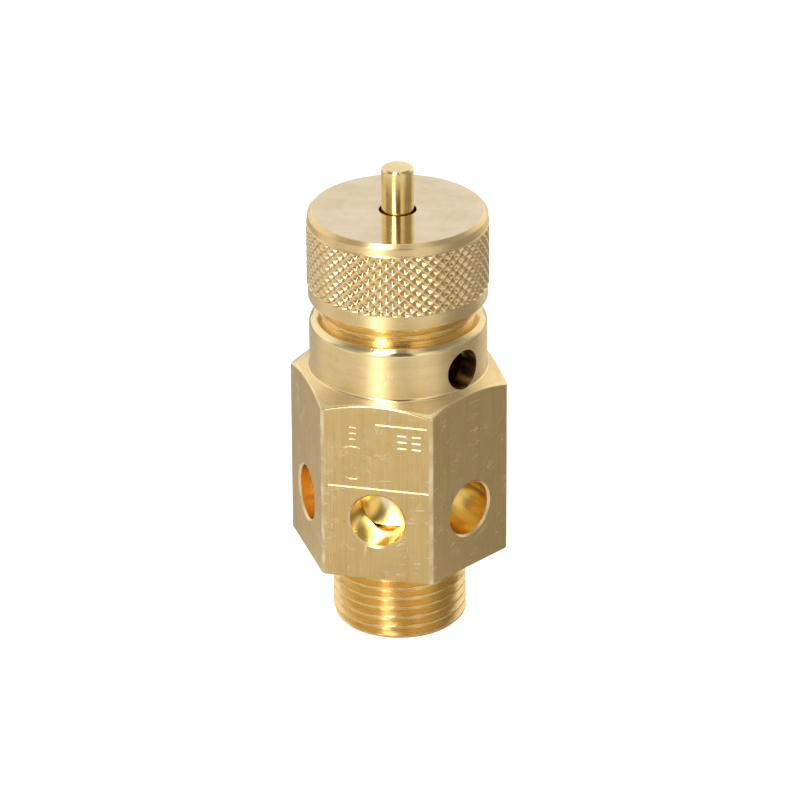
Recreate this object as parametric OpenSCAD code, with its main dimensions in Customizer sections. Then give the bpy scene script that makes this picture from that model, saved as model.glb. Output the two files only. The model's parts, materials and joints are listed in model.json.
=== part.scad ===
// Open-discharge pressure relief valve with a knurled lifting cap.
// Millimetres. Z points up, and the origin is the centre of the inlet thread's lower end.

/* [Inlet] */
// Diameter over the inlet thread's crests
thread_d = 16.66; // [14:0.01:22]
// Length of the inlet thread, from its end to the hexagon
thread_l = 10.4; // [7:0.1:16]
// Chamfer on the inlet thread's end
thread_chamfer = 0.7; // [0.2:0.1:1.2]
// Diameter of the inlet bore
bore_d = 9; // [7.5:0.1:11]
// Countersink at the mouth of the inlet bore
bore_chamfer = 0.4; // [0.1:0.1:1]

/* [Seat and chamber] */
// Width of the seat's flat lip
seat_lip = 0.6; // [0.4:0.05:1]
// Width of the cone outside the lip
seat_cone = 0.5; // [0.3:0.05:1]
// Height of the seat above the chamber's floor
seat_h = 1.2; // [0.8:0.1:3]
// Depth of the chamber's floor below the ports
port_sill = 0.25; // [0.1:0.05:1]
// Radial space between the seat and the shutter's skirt
skirt_gap = 0.45; // [0.3:0.05:1]
// Wall of the shutter's skirt
skirt_wall = 0.9; // [0.6:0.05:1.5]

/* [Hexagon and ports] */
// Step from the barrel out to the hexagon's flats
hex_land = 1; // [0.5:0.1:3]
// Height from the hexagon's underside to the barrel
hex_h = 24.2; // [20:0.1:34]
// Slope of the chamfer on top of the hexagon, in degrees
hex_slope = 30; // [15:1:40]
// How much the drawn bar's corners are trimmed
corner_trim = 0.14; // [0.05:0.01:0.5]
// Diameter of the discharge ports
port_d = 6.9; // [5:0.1:8.4]
// Height of the ports' centres above the hexagon's underside
port_up = 8; // [6.5:0.1:10]
// Width of the countersink round each port
port_rim = 0.35; // [0.1:0.05:0.6]

/* [Barrel and neck] */
// Step from the neck out to the barrel
barrel_step = 1; // [0.5:0.1:2]
// Height of the barrel
barrel_h = 6.7; // [6:0.1:12]
// Chamfer on the barrel's upper edge
barrel_chamfer = 0.65; // [0.1:0.05:0.8]
// Diameter of the vent hole in the barrel
vent_d = 5.1; // [3:0.1:5.6]
// Height of the vent's centre above the hexagon
vent_up = 2.5; // [1.5:0.1:4]
// Wall between the adjusting thread and the neck thread
neck_wall = 2; // [1.2:0.1:4]
// Length of the neck above the barrel
neck_l = 7.1; // [6:0.1:12]
// Depth of the neck's fine thread
neck_thread_depth = 0.6; // [0.4:0.05:0.8]

/* [Adjusting parts] */
// Step from the chamber out to the adjusting thread
screw_step = 1; // [0.6:0.1:2]
// Depth of the relief groove below the adjusting thread
relief_depth = 0.6; // [0.3:0.1:0.8]
// Length of the relief groove
relief_l = 5.8; // [3:0.1:7]
// Length of the adjusting screw
adjust_h = 4.8; // [3:0.1:6]
// Length of the lock ring
lock_h = 2.5; // [1.5:0.1:3.5]
// Depth of the lock ring below the neck's rim
lock_recess = 0.8; // [0.4:0.1:2]
// Width of the drive slots
slot_w = 1.6; // [1:0.1:2.5]
// Depth of the drive slots
slot_depth = 1.3; // [0.6:0.1:1.8]
// Thickness of the thrust washer
thrust_t = 0.4; // [0.3:0.1:1]
// Wall of the stem's guide bush
bush_wall = 1.15; // [0.8:0.05:2]
// Width of the guide bush's flange
bush_flange = 1.1; // [0.6:0.1:1.5]
// Thickness of the guide bush's flange
bush_flange_t = 0.8; // [0.5:0.1:1.5]

/* [Spring] */
// Wire diameter
wire_d = 1.4; // [0.8:0.05:1.7]
// Diameter of the coil through the wire's centre
coil_d = 10; // [9:0.1:11]
// Number of turns, closed ends included
turns = 5.25; // [4:0.25:6]
// Thickness of the spring plates
plate_t = 0.9; // [0.6:0.1:1.5]
// Length of the spring plates' bosses inside the coil
boss_l = 1.3; // [0.5:0.1:2]

/* [Shutter] */
// Depth of the skirt below the seat's lip
skirt_depth = 0.5; // [0.2:0.05:0.8]
// Length of the shutter guided above the ports
guide_l = 5.1; // [4:0.1:8]
// Thickness of the seal disc
seal_t = 1.8; // [1:0.1:2.5]
// Width of the guide ring's groove
guide_ring_h = 1.6; // [1:0.1:2.5]
// Depth of the guide ring's groove
guide_ring_t = 0.9; // [0.6:0.1:1.2]
// Diameter of the seal retaining washer
seal_washer_d = 7.2; // [6:0.1:7.5]
// Thickness of the seal retaining washer
seal_washer_t = 0.6; // [0.3:0.1:1]
// Diameter of the seal screw's thread
seal_screw_d = 2.5; // [2:0.1:3]
// Length of the seal screw below its head
seal_screw_l = 6; // [4:0.1:6.5]
// Diameter of the seal screw's head
seal_head_d = 4.5; // [3.5:0.1:5.5]
// Height of the seal screw's head
seal_head_h = 1.5; // [1:0.1:2]

/* [Stem] */
// Diameter of the stem
stem_d = 4; // [3:0.1:4.8]
// Length of stem that stands above the cap
stem_out = 5.6; // [3:0.1:12]
// Length of stem inside the shutter
stem_socket = 4.1; // [3:0.1:4.6]
// Chamfer on the stem's top
stem_chamfer = 0.25; // [0.1:0.05:0.5]
// Diameter of the cross pin that holds the shutter on the stem
pin_d = 1.5; // [1:0.1:1.5]
// Thickness of the stem's retaining clip
clip_t = 0.6; // [0.4:0.1:1]
// Diameter of the stem's retaining clip
clip_d = 7; // [6:0.1:8]
// Depth of the clip's groove in the stem
clip_groove = 0.4; // [0.2:0.05:0.6]
// Diameter of the washer under the clip
stem_washer_d = 8; // [6:0.1:10]
// Thickness of the washer under the clip
stem_washer_t = 0.5; // [0.3:0.1:1]

/* [Cap] */
// Height of the cap
cap_h = 11.25; // [10.9:0.05:16]
// Height of bare neck thread below the cap
cap_gap = 2.75; // [2:0.05:4]
// Wall outside the neck thread at the smooth bands
cap_wall = 1.1; // [0.8:0.05:3]
// How far the knurl stands out of the smooth bands
knurl_rise = 0.12; // [0.05:0.01:0.3]
// Height of the smooth band below the knurl
lower_band = 1.7; // [0.5:0.1:3]
// Height of the smooth band above the knurl, its chamfer included
upper_band = 1.45; // [0.8:0.05:3]
// Chamfer round the cap's top
cap_chamfer = 0.55; // [0.2:0.05:0.7]
// Thickness of the cap's roof
roof_t = 1.7; // [1:0.1:2]
// Width of the ledge that stops the cap on the neck
cap_ledge = 1; // [0.6:0.1:1.5]
// Height of the ledge below the snap ring
ledge_h = 0.6; // [0.4:0.1:1]
// Thickness of the cap's snap ring
snap_t = 0.8; // [0.5:0.1:1.2]
// Depth of the snap ring's groove
snap_groove = 0.5; // [0.3:0.05:0.7]
// How far the snap ring reaches in past the groove
snap_reach = 1.1; // [0.8:0.1:1.6]
// Thickness of the lift ring
lift_ring_t = 1; // [0.6:0.1:1.5]

/* [Clearances] */
// Running clearance of the stem in its bush and of the cap on its thread
running = 0.05; // [0.02:0.01:0.1]
// Running clearance of the guide ring in the chamber
ring_running = 0.03; // [0.02:0.01:0.1]
// Radial clearance of the lift ring in the cap
lift_ring_fit = 0.1; // [0.05:0.01:0.2]
// Radial clearance of the stem in the rings and the cap that it passes
stem_pass = 0.3; // [0.2:0.05:0.5]
// Radial clearance of the spring's plates in the chamber
plate_fit = 0.6; // [0.4:0.1:1]
// Radial clearance between the coil and the bosses inside it
boss_fit = 0.3; // [0.1:0.05:0.8]

/* [Hidden] */
$fn = 96;

brass = [0.80, 0.67, 0.42];
bright_brass = [0.85, 0.71, 0.44];
steel = [0.66, 0.67, 0.68];
spring_steel = [0.55, 0.56, 0.58];
bronze = [0.70, 0.52, 0.33];
seal_rubber = [0.10, 0.10, 0.11];
white_plastic = [0.90, 0.90, 0.87];

// Radii, from the inlet bore outwards
bore_r = bore_d / 2;
lip_r = bore_r + seat_lip;
nozzle_r = lip_r + seat_cone;
skirt_r = nozzle_r + skirt_gap;
shutter_r = skirt_r + skirt_wall;
chamber_r = shutter_r + running;
screw_r = chamber_r + screw_step;
relief_r = screw_r + relief_depth;
neck_r = screw_r + neck_wall;
barrel_r = neck_r + barrel_step;
flat_r = barrel_r + hex_land;
corner_r = flat_r / cos(30);
cap_thread_r = neck_r + running;
cap_r = neck_r + cap_wall;
cavity_r = neck_r - cap_ledge;
stem_r = stem_d / 2;
pass_r = stem_r + stem_pass;
plate_r = chamber_r - plate_fit;
boss_r = coil_d / 2 - wire_d / 2 - boss_fit;
bush_r = stem_r + running + bush_wall;
flange_r = bush_r + bush_flange;
lock_hole_r = flange_r + stem_pass;
seal_r = skirt_r - skirt_gap / 2;
groove_r = shutter_r - guide_ring_t;

// Heights, from the inlet upwards
hex_z = thread_l;
port_z = hex_z + port_up;
floor_z = port_z - port_d / 2 - port_sill;
seat_z = floor_z + seat_h;
shutter_z = seat_z - skirt_depth;
shutter_top = port_z + port_d / 2 + guide_l;
barrel_z = hex_z + hex_h;
vent_z = barrel_z + vent_up;
neck_z = barrel_z + barrel_h;
neck_top = neck_z + neck_l;
lock_z = neck_top - lock_recess - lock_h;
adjust_z = lock_z - adjust_h;
thrust_z = adjust_z - thrust_t;
upper_plate_z = thrust_z - plate_t;
spring_z = shutter_top + plate_t;
spring_l = upper_plate_z - spring_z;
cap_z = neck_z + cap_gap;
cap_top = cap_z + cap_h;
roof_z = cap_top - roof_t;
snap_z = neck_top + ledge_h;
lift_ring_z = snap_z + snap_t;
stem_washer_z = lift_ring_z + lift_ring_t;
clip_z = stem_washer_z + stem_washer_t;
stem_top = cap_top + stem_out;
stem_z = shutter_top - stem_socket;
ring_z = shutter_top - (stem_socket + guide_ring_h) / 2;
pin_z = ring_z + guide_ring_h / 2;
pin_l = 2 * (groove_r - 0.1);

port_step = 60; // degrees between neighbouring flats, and so between ports
first_port = -90; // the front flat faces -Y
vent_angle = first_port + port_step;
cut = 0.5; // how far a cutter runs past the face it opens
coil_gap = 0.08; // air between the closed end turns
wire_sides = 8;
steps_per_turn = 24;

module tube(r, inner_r, h) {
    difference() {
        cylinder(r = r, h = h);
        translate([0, 0, -cut]) cylinder(r = inner_r, h = h + 2 * cut);
    }
}

// Slots across the top face of a round piece that ends at height h
module drive_slots(r, inner_r, h) {
    for (side = [0, 180])
        rotate([0, 0, side])
            translate([inner_r, -slot_w / 2, h - slot_depth])
                cube([r - inner_r + cut, slot_w, slot_depth + cut]);
}

// Outside of the body without its flats: thread, corner circle, cone, barrel and neck
module body_envelope() {
    envelope_r = corner_r - corner_trim;
    rotate_extrude()
        polygon([
            [0, 0],
            [thread_d / 2 - thread_chamfer, 0],
            [thread_d / 2, thread_chamfer],
            [thread_d / 2, hex_z],
            [envelope_r, hex_z],
            [envelope_r, barrel_z - (envelope_r - barrel_r) * tan(hex_slope)],
            [barrel_r, barrel_z],
            [barrel_r, neck_z - barrel_chamfer],
            [barrel_r - barrel_chamfer, neck_z],
            [neck_r, neck_z],
            [neck_r, neck_top - neck_thread_depth],
            [neck_r - neck_thread_depth, neck_top],
            [0, neck_top]
        ]);
}

// Inside of the body: inlet bore, seat nozzle, chamber, relief groove and adjusting thread
module body_cavity() {
    rotate_extrude()
        polygon([
            [0, -cut],
            [bore_r + bore_chamfer + cut, -cut],
            [bore_r, bore_chamfer],
            [bore_r, seat_z],
            [lip_r, seat_z],
            [nozzle_r, seat_z - seat_cone],
            [nozzle_r, floor_z],
            [chamber_r, floor_z],
            [chamber_r, adjust_z - relief_l],
            [relief_r, adjust_z - relief_l],
            [relief_r, adjust_z],
            [screw_r, adjust_z],
            [screw_r, neck_top + cut],
            [0, neck_top + cut]
        ]);
}

module ports() {
    for (i = [0:5])
        rotate([0, 0, first_port + i * port_step])
            translate([0, 0, port_z])
                rotate([0, 90, 0]) {
                    translate([0, 0, nozzle_r]) cylinder(d = port_d, h = flat_r);
                    translate([0, 0, flat_r - port_rim])
                        cylinder(r1 = port_d / 2, r2 = port_d / 2 + port_rim + cut, h = port_rim + cut);
                }
}

module valve_body() {
    color(brass)
        difference() {
            intersection() {
                body_envelope();
                union() {
                    rotate([0, 0, 30]) rotate([0, 0, first_port])
                        translate([0, 0, hex_z]) cylinder(r = corner_r, h = hex_h, $fn = 6);
                    translate([0, 0, -cut]) cylinder(r = barrel_r, h = neck_top + 2 * cut);
                }
            }
            body_cavity();
            ports();
            rotate([0, 0, vent_angle]) translate([chamber_r / 2, 0, vent_z])
                rotate([0, 90, 0]) cylinder(d = vent_d, h = barrel_r);
        }
}

module adjusting_screw() {
    color(bright_brass)
        translate([0, 0, adjust_z])
            difference() {
                tube(screw_r, bush_r, adjust_h);
                drive_slots(screw_r, flange_r, adjust_h);
            }
}

module lock_ring() {
    color(bright_brass)
        translate([0, 0, lock_z])
            difference() {
                tube(screw_r, lock_hole_r, lock_h);
                drive_slots(screw_r, lock_hole_r - cut, lock_h);
            }
}

module stem_bush() {
    color(bronze)
        translate([0, 0, adjust_z])
            difference() {
                union() {
                    cylinder(r = bush_r, h = adjust_h);
                    translate([0, 0, adjust_h]) cylinder(r = flange_r, h = bush_flange_t);
                }
                translate([0, 0, -cut])
                    cylinder(r = stem_r + running, h = adjust_h + bush_flange_t + 2 * cut);
            }
}

module thrust_washer() {
    color(white_plastic)
        translate([0, 0, thrust_z]) tube(plate_r, pass_r, thrust_t);
}

// A plate with a boss that centres the spring, drawn with its boss up
module spring_plate() {
    difference() {
        union() {
            cylinder(r = plate_r, h = plate_t);
            cylinder(r = boss_r, h = plate_t + boss_l);
        }
        translate([0, 0, -cut]) cylinder(r = pass_r, h = plate_t + boss_l + 2 * cut);
    }
}

module upper_spring_plate() {
    color(steel) translate([0, 0, thrust_z]) mirror([0, 0, 1]) spring_plate();
}

module lower_spring_plate() {
    color(steel) translate([0, 0, shutter_top]) spring_plate();
}

// Height of the wire's centre after t turns: closed ends, open turns between them
end_pitch = wire_d + coil_gap;
open_pitch = (spring_l - wire_d - 2 * end_pitch) / (turns - 2);
function wire_z(t) = wire_d / 2 + end_pitch * (min(t, 1) + max(t - turns + 1, 0))
    + open_pitch * max(min(t, turns - 1) - 1, 0);
function wire_point(t, side) =
    let (a = 360 * t, b = 360 * side / wire_sides, r = coil_d / 2 + wire_d / 2 * cos(b))
        [r * cos(a), r * sin(a), wire_z(t) + wire_d / 2 * sin(b)];

module main_spring() {
    rings = turns * steps_per_turn;
    points = [for (i = [0:rings], s = [0:wire_sides - 1]) wire_point(i / steps_per_turn, s)];
    sides = [for (i = [0:rings - 1], s = [0:wire_sides - 1])
        let (a = i * wire_sides, next = (s + 1) % wire_sides)
            [a + s, a + wire_sides + s, a + wire_sides + next, a + next]];
    start = [[for (s = [0:wire_sides - 1]) s]];
    finish = [[for (s = [wire_sides - 1:-1:0]) rings * wire_sides + s]];
    color(spring_steel)
        translate([0, 0, spring_z]) polyhedron(points, concat(start, sides, finish), convexity = 8);
}

module shutter() {
    color(bright_brass)
        difference() {
            rotate_extrude()
                polygon([
                    [0, seat_z + seal_t],
                    [seal_r, seat_z + seal_t],
                    [seal_r, seat_z],
                    [skirt_r, seat_z],
                    [skirt_r, shutter_z],
                    [shutter_r, shutter_z],
                    [shutter_r, ring_z],
                    [groove_r, ring_z],
                    [groove_r, ring_z + guide_ring_h],
                    [shutter_r, ring_z + guide_ring_h],
                    [shutter_r, shutter_top],
                    [0, shutter_top]
                ]);
            translate([0, 0, seat_z])
                cylinder(d = seal_screw_d, h = seal_screw_l - seal_washer_t);
            translate([0, 0, stem_z]) cylinder(r = stem_r, h = stem_socket + cut);
            pin_hole();
        }
}

module pin_hole() {
    translate([-shutter_r, 0, pin_z]) rotate([0, 90, 0]) cylinder(d = pin_d, h = 2 * shutter_r);
}

module guide_ring() {
    color(white_plastic)
        translate([0, 0, ring_z]) tube(chamber_r - ring_running, groove_r, guide_ring_h);
}

module seal_disc() {
    color(seal_rubber)
        translate([0, 0, seat_z]) tube(seal_r, seal_screw_d / 2, seal_t);
}

module seal_washer() {
    color(steel)
        translate([0, 0, seat_z - seal_washer_t])
            tube(seal_washer_d / 2, seal_screw_d / 2, seal_washer_t);
}

module seal_screw() {
    head_z = seat_z - seal_washer_t - seal_head_h;
    color(steel)
        difference() {
            union() {
                translate([0, 0, head_z]) cylinder(d = seal_head_d, h = seal_head_h);
                translate([0, 0, head_z]) cylinder(d = seal_screw_d, h = seal_head_h + seal_screw_l);
            }
            translate([-seal_head_d, -0.3, head_z - cut])
                cube([2 * seal_head_d, 0.6, seal_head_h / 2 + cut]);
        }
}

module stem() {
    color(bright_brass)
        difference() {
            rotate_extrude()
                polygon([
                    [0, stem_z],
                    [stem_r, stem_z],
                    [stem_r, clip_z],
                    [stem_r - clip_groove, clip_z],
                    [stem_r - clip_groove, clip_z + clip_t],
                    [stem_r, clip_z + clip_t],
                    [stem_r, stem_top - stem_chamfer],
                    [stem_r - stem_chamfer, stem_top],
                    [0, stem_top]
                ]);
            pin_hole();
        }
}

module stem_pin() {
    color(steel)
        translate([-pin_l / 2, 0, pin_z]) rotate([0, 90, 0]) cylinder(d = pin_d, h = pin_l);
}

module stem_washer() {
    color(steel)
        translate([0, 0, stem_washer_z]) tube(stem_washer_d / 2, stem_r, stem_washer_t);
}

module stem_clip() {
    seat_r = stem_r - clip_groove;
    mouth = 1.6 * seat_r;
    color(spring_steel)
        translate([0, 0, clip_z])
            difference() {
                tube(clip_d / 2, seat_r, clip_t);
                translate([0, -mouth / 2, -cut]) cube([clip_d, mouth, clip_t + 2 * cut]);
            }
}

module lift_ring() {
    color(steel)
        translate([0, 0, lift_ring_z]) tube(cavity_r - lift_ring_fit, pass_r, lift_ring_t);
}

module cap_snap_ring() {
    inner_r = cavity_r - snap_reach;
    outer_r = cavity_r + snap_groove;
    lug_r = 1.3;
    lug_hole_r = 0.5;
    gap_half = 14; // degrees from the gap's middle to each lug
    color(spring_steel)
        translate([0, 0, snap_z])
            difference() {
                union() {
                    tube(outer_r, inner_r, snap_t);
                    for (a = [-gap_half, gap_half])
                        rotate([0, 0, a]) translate([inner_r - lug_r / 2, 0, 0])
                            cylinder(r = lug_r, h = snap_t);
                }
                for (a = [-gap_half, gap_half])
                    rotate([0, 0, a]) translate([inner_r - lug_r / 2, 0, -cut])
                        cylinder(r = lug_hole_r, h = snap_t + 2 * cut);
                translate([inner_r / 2, -lug_hole_r, -cut])
                    cube([outer_r, 2 * lug_hole_r, snap_t + 2 * cut]);
            }
}

module knurled_cap() {
    color(brass)
        rotate_extrude()
            polygon([
                [cap_thread_r, cap_z],
                [cap_r, cap_z],
                [cap_r, cap_z + lower_band],
                [cap_r + knurl_rise, cap_z + lower_band + knurl_rise],
                [cap_r + knurl_rise, cap_top - upper_band - knurl_rise],
                [cap_r, cap_top - upper_band],
                [cap_r, cap_top - cap_chamfer],
                [cap_r - cap_chamfer, cap_top],
                [pass_r, cap_top],
                [pass_r, roof_z],
                [cavity_r, roof_z],
                [cavity_r, snap_z + snap_t],
                [cavity_r + snap_groove, snap_z + snap_t],
                [cavity_r + snap_groove, snap_z],
                [cavity_r, snap_z],
                [cavity_r, neck_top],
                [cap_thread_r, neck_top]
            ]);
}

valve_body();
adjusting_screw();
lock_ring();
stem_bush();
thrust_washer();
upper_spring_plate();
main_spring();
lower_spring_plate();
shutter();
guide_ring();
seal_disc();
seal_washer();
seal_screw();
stem();
stem_pin();
stem_washer();
stem_clip();
lift_ring();
cap_snap_ring();
knurled_cap();
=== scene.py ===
import json
import math

import bmesh
import bpy
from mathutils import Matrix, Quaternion, Vector


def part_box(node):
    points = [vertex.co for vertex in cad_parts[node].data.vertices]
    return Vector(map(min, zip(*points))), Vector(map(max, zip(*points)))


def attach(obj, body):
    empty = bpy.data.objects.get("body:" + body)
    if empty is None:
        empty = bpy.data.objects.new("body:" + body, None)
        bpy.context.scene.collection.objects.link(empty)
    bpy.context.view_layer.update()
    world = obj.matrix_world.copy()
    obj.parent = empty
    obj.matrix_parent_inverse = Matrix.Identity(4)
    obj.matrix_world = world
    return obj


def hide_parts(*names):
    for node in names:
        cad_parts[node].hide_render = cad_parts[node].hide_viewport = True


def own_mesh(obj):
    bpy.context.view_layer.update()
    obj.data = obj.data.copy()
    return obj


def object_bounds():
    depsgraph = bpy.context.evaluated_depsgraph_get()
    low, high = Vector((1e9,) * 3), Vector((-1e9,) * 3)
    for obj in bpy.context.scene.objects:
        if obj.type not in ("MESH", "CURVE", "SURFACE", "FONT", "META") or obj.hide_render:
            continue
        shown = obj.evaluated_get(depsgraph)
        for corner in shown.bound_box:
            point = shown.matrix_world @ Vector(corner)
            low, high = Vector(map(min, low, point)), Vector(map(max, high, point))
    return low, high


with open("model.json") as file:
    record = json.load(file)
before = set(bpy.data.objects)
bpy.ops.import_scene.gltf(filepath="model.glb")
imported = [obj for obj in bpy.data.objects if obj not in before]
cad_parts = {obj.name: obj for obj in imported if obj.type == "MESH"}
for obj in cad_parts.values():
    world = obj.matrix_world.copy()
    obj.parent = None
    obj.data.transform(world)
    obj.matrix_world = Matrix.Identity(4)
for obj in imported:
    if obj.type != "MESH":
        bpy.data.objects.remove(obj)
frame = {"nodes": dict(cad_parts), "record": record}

mm = 0.001
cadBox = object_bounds()
record = frame["record"]
mounts = {m["name"]: m for m in record["mounts"]}
openings = {o["name"]: o for o in record["physics"]["openings"]}


def low(node, axis):
    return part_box(node)[0][axis] / mm


def high(node, axis):
    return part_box(node)[1][axis] / mm


# Places that the frame gives, in millimetres
portBox = openings["front_discharge_port"]["box_m"]
at = {
    "threadR": mounts["inlet_thread"]["dims"]["r_mm"],
    "hexZ": mounts["hexagon_underside"]["pos_m"][2] / mm,
    "flatR": high("valve_body", 1),
    "cornerR": high("valve_body", 0),
    "neckTop": high("valve_body", 2),
    "portZ": (portBox[0][2] + portBox[1][2]) / 2 / mm,
    "seatZ": low("seal_disc", 2),
    "adjustZ": low("adjusting_screw", 2),
    "screwR": high("adjusting_screw", 0),
    "chamberR": high("guide_ring", 0) + 0.03,
    "capZ": low("knurled_cap", 2),
    "capTop": high("knurled_cap", 2),
    "knurlR": high("knurled_cap", 0),
    "snapZ": low("cap_snap_ring", 2),
    "snapTop": high("cap_snap_ring", 2),
    "stemTop": high("stem", 2),
    "stemLow": low("stem", 2),
    "clipZ": low("stem_clip", 2),
    "clipTop": high("stem_clip", 2),
    "shutterZ": low("shutter", 2),
    "shutterTop": high("shutter", 2),
    "shutterR": high("shutter", 0),
    "sealR": high("seal_disc", 0),
    "sealTop": high("seal_disc", 2),
    "grooveR": high("stem_pin", 0) + 0.1,
    "ringLow": low("guide_ring", 2),
    "ringTop": high("guide_ring", 2),
    "pinZ": (low("stem_pin", 2) + high("stem_pin", 2)) / 2,
    "pinR": high("stem_pin", 1),
    "springLow": low("main_spring", 2),
    "springTop": high("main_spring", 2),
    "springR": high("main_spring", 0),
}


def calc(tree, operation, *values):
    node = tree.nodes.new("ShaderNodeMath")
    node.operation = operation
    for socket, value in zip(node.inputs, values):
        if isinstance(value, (int, float)):
            socket.default_value = value
        else:
            tree.links.new(value, socket)
    return node.outputs[0]


def ramp(tree, value, start, end, low=0.0, high=1.0, kind="SMOOTHSTEP"):
    node = tree.nodes.new("ShaderNodeMapRange")
    node.interpolation_type = kind
    items = {"Value": value, "From Min": start, "From Max": end, "To Min": low, "To Max": high}
    for name, item in items.items():
        if isinstance(item, (int, float)):
            node.inputs[name].default_value = item
        else:
            tree.links.new(item, node.inputs[name])
    return node.outputs["Result"]


def fromAxis(tree, x, y):
    # Distance from the valve's axis
    return calc(tree, "SQRT", calc(tree, "ADD", calc(tree, "MULTIPLY", x, x), calc(tree, "MULTIPLY", y, y)))


def minus(tree, one, two):
    return calc(tree, "SUBTRACT", one, two)


def offMiddle(tree, value):
    # Distance of a value from the nearest point half-way between whole numbers
    return calc(tree, "ABSOLUTE", minus(tree, calc(tree, "FRACT", value), 0.5))


def split(tree, vector):
    node = tree.nodes.new("ShaderNodeSeparateXYZ")
    tree.links.new(vector, node.inputs[0])
    return node.outputs


def join(tree, *values):
    node = tree.nodes.new("ShaderNodeCombineXYZ")
    for socket, value in zip(node.inputs, values):
        if isinstance(value, (int, float)):
            socket.default_value = value
        else:
            tree.links.new(value, socket)
    return node.outputs[0]


def geometryTree(name, sizes):
    # An empty tree with one named input for each size
    tree = bpy.data.node_groups.new(name, "GeometryNodeTree")
    tree.interface.new_socket("Geometry", in_out="INPUT", socket_type="NodeSocketGeometry")
    for label, value in sizes.items():
        tree.interface.new_socket(label, in_out="INPUT", socket_type="NodeSocketFloat").default_value = value
    tree.interface.new_socket("Geometry", in_out="OUTPUT", socket_type="NodeSocketGeometry")
    inputs = tree.nodes.new("NodeGroupInput").outputs
    output = tree.nodes.new("NodeGroupOutput").inputs[0]
    return tree, inputs, output


def endTree(tree, shape, out, name, chosen=None):
    real = tree.nodes.new("GeometryNodeRealizeInstances")
    tree.links.new(shape, real.inputs[0])
    paint = tree.nodes.new("GeometryNodeSetMaterial")
    paint.inputs["Material"].default_value = finishes[name]
    if chosen is not None:
        tree.links.new(chosen, paint.inputs["Selection"])
    tree.links.new(real.outputs[0], paint.inputs["Geometry"])
    tree.links.new(paint.outputs[0], out)


def runTree(obj, tree, sizes):
    # Sets the inputs by identifier, and turns the result into the object's own mesh
    modifier = obj.modifiers.new(tree.name, "NODES")
    modifier.node_group = tree
    for item in tree.interface.items_tree:
        if item.item_type == "SOCKET" and item.in_out == "INPUT" and item.name in sizes:
            modifier[item.identifier] = float(sizes[item.name])
    applyAll(obj)


def applyAll(obj):
    shape = obj.evaluated_get(bpy.context.evaluated_depsgraph_get())
    mesh = bpy.data.meshes.new_from_object(shape)
    obj.modifiers.clear()
    obj.data = mesh
    mesh.name = obj.name


def rounded(points, radius, steps=3, closed=False):
    # Rounds each corner of an outline, and adds a point just beyond each arc to keep the flats flat.
    # A point's third number is its own radius
    out = []
    count = len(points)
    for i, point in enumerate(points):
        if not closed and i in (0, count - 1):
            out.append(point[:2])
            continue
        here = Vector(point[:2])
        before = Vector(points[i - 1][:2]) - here
        after = Vector(points[(i + 1) % count][:2]) - here
        turn = math.pi - before.angle(after)
        if turn < math.radians(8):
            out.append(point[:2])
            continue
        size = point[2] if len(point) > 2 else radius
        reach = min(size * math.tan(turn / 2), before.length * 0.42, after.length * 0.42)
        before.normalize()
        after.normalize()
        hold = reach * 1.12
        out.append(tuple(here + before * hold))
        for k in range(steps + 1):
            t = k / steps
            out.append(tuple(here + before * reach * (1 - t) ** 2 + after * reach * t ** 2))
        out.append(tuple(here + after * hold))
    return out


def ringOf(bm, angles, place):
    # One closed row of vertices; place gives radius and height at an angle in degrees
    row = []
    for a in angles:
        r, z = place(a) if callable(place) else place
        turn = math.radians(a)
        row.append(bm.verts.new((r * math.cos(turn) * mm, r * math.sin(turn) * mm, z * mm)))
    return row


def bridge(bm, one, two, material=0):
    # Faces between two closed rows; the finer row's extra edges go into the coarser row's faces
    if len(one) < len(two):
        one, two = two, one
    share = len(one) // len(two)
    count = len(two)
    for i in range(count):
        fine = [one[(i * share + k) % len(one)] for k in range(share + 1)]
        face = bm.faces.new(fine + [two[(i + 1) % count], two[i]])
        face.material_index = material
        face.smooth = True


def even(count):
    return [360 * i / count for i in range(count)]


def turned(bm, outline, count, materials=(0,), closed=True):
    # A solid of revolution; the outline runs round the section, or from axis to axis
    angles = even(count)
    rows = []
    for r, z in outline:
        rows.append([bm.verts.new((0, 0, z * mm))] if r < 1e-6 else ringOf(bm, angles, (r, z)))
    pairs = list(zip(rows, rows[1:] + rows[:1])) if closed else list(zip(rows, rows[1:]))
    for i, (one, two) in enumerate(pairs):
        material = materials[min(i, len(materials) - 1)]
        if len(one) == 1 or len(two) == 1:
            if len(one) == len(two):
                continue
            pole, row = (one[0], two) if len(one) == 1 else (two[0], one)
            for k in range(len(row)):
                face = bm.faces.new((pole, row[k], row[(k + 1) % len(row)]))
                face.material_index = material
                face.smooth = True
        else:
            bridge(bm, one, two, material)


def newPiece(name, bm, materials, sharp=30):
    bmesh.ops.recalc_face_normals(bm, faces=bm.faces)
    mesh = bpy.data.meshes.new(name)
    bm.to_mesh(mesh)
    bm.free()
    for material in materials:
        mesh.materials.append(material)
    obj = bpy.data.objects.new(name, mesh)
    bpy.context.scene.collection.objects.link(obj)
    if sharp:
        mesh.set_sharp_from_angle(angle=math.radians(sharp))
    return obj


def cutOut(obj, bm, materials, sharp=30):
    # Takes the shapes in bm away from the piece; cut faces keep the cutter's material
    cutter = newPiece("cutter", bm, materials, sharp=0)
    modifier = obj.modifiers.new("cut", "BOOLEAN")
    modifier.operation = "DIFFERENCE"
    modifier.solver = "EXACT"
    modifier.material_mode = "TRANSFER"
    modifier.object = cutter
    applyAll(obj)
    bpy.data.objects.remove(cutter)
    mesh = obj.data
    mesh.polygons.foreach_set("use_smooth", [True] * len(mesh.polygons))
    mesh.set_sharp_from_angle(angle=math.radians(sharp))


def finishPiece(obj, body, slotName, *nodes):
    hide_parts(*nodes)
    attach(obj, body)
    print("made", obj.name, len(obj.data.polygons), "faces")


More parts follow.
